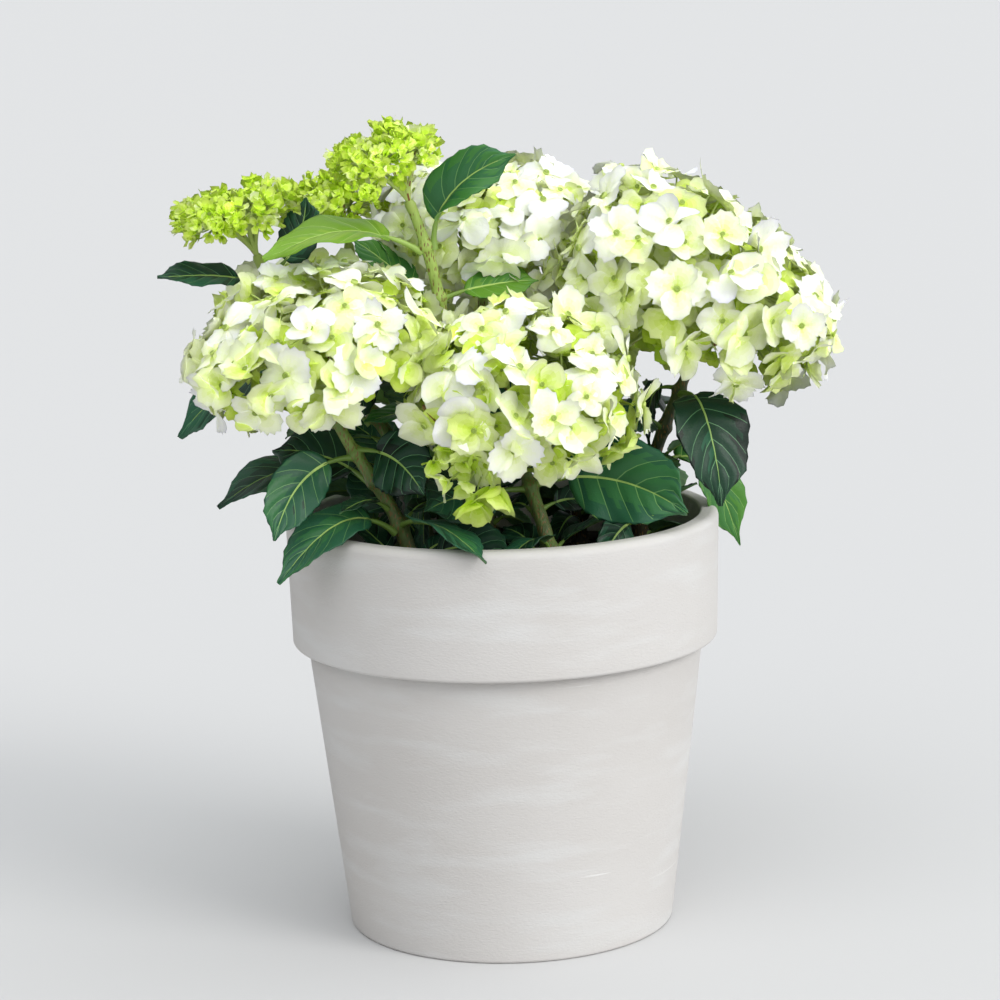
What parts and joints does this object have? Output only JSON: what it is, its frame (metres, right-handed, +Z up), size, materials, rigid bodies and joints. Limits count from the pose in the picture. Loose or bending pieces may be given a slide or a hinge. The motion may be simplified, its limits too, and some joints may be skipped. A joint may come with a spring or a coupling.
{
  "type": "potted hydrangea shrub",
  "caption": "Leafy flowering shrub with rounded white and lime flower heads, in a tapered clay pot with a deep collar.",
  "frame": {"origin": "centre of the pot's flat underside", "axes": "+Z up, -Y towards the side that is shown in front, +X to its right"},
  "size_m": [0.3901, 0.3226, 0.4688],
  "materials": {
    "pot": "unglazed pale clay with a thin limewash, matt",
    "soil": "damp dark compost, matt",
    "stem": "green stem with brown flecks, satin",
    "leaf": "deep green leaf with lighter veins, satin",
    "bloom": "white sepals with lime at their bases, matt",
    "young_bloom": "small lime green sepals, matt"
  },
  "bodies": {
    "root": {"pot": "pot", "soil": "soil", "stem_front_left": "stem", "bloom_front_left": "bloom", "stem_front_middle": "stem", "bloom_front_middle": "bloom", "stem_right": "stem", "bloom_right": "bloom", "stem_middle": "stem", "bloom_middle": "bloom", "stem_young_top": "stem", "bloom_young_top": "young_bloom", "stem_young_left": "stem", "bloom_young_left": "young_bloom", "stem_young_back": "stem", "bloom_young_back": "young_bloom", "stem_back_left": "stem", "bloom_back_left": "bloom", "stem_back_middle": "stem", "bloom_back_middle": "bloom", "stem_back_right": "stem", "bloom_back_right": "bloom", "leaves_front_left_1": "leaf", "leaves_front_left_2": "leaf", "leaves_front_left_3": "leaf", "leaves_front_left_4": "leaf", "leaves_front_middle_1": "leaf", "leaves_front_middle_2": "leaf", "leaves_right_1": "leaf", "leaves_right_2": "leaf", "leaves_right_3": "leaf", "leaves_right_4": "leaf", "leaves_middle_1": "leaf", "leaves_middle_2": "leaf", "leaves_middle_3": "leaf", "leaves_young_top_1": "leaf", "leaves_young_top_2": "leaf", "leaves_young_top_3": "leaf", "leaves_young_top_4": "leaf", "leaves_young_top_5": "leaf", "leaves_young_left_1": "leaf", "leaves_young_left_2": "leaf", "leaves_young_left_3": "leaf", "leaves_young_left_4": "leaf", "leaves_young_back_1": "leaf", "leaves_young_back_2": "leaf", "leaves_young_back_3": "leaf", "leaves_back_left_1": "leaf", "leaves_back_left_2": "leaf", "leaves_back_left_3": "leaf", "leaves_back_middle_1": "leaf", "leaves_back_middle_2": "leaf", "leaves_back_middle_3": "leaf", "leaves_back_middle_4": "leaf", "leaves_back_right_1": "leaf", "leaves_back_right_2": "leaf", "leaves_back_right_3": "leaf", "leaves_back_right_4": "leaf"}
  },
  "joints": []
}
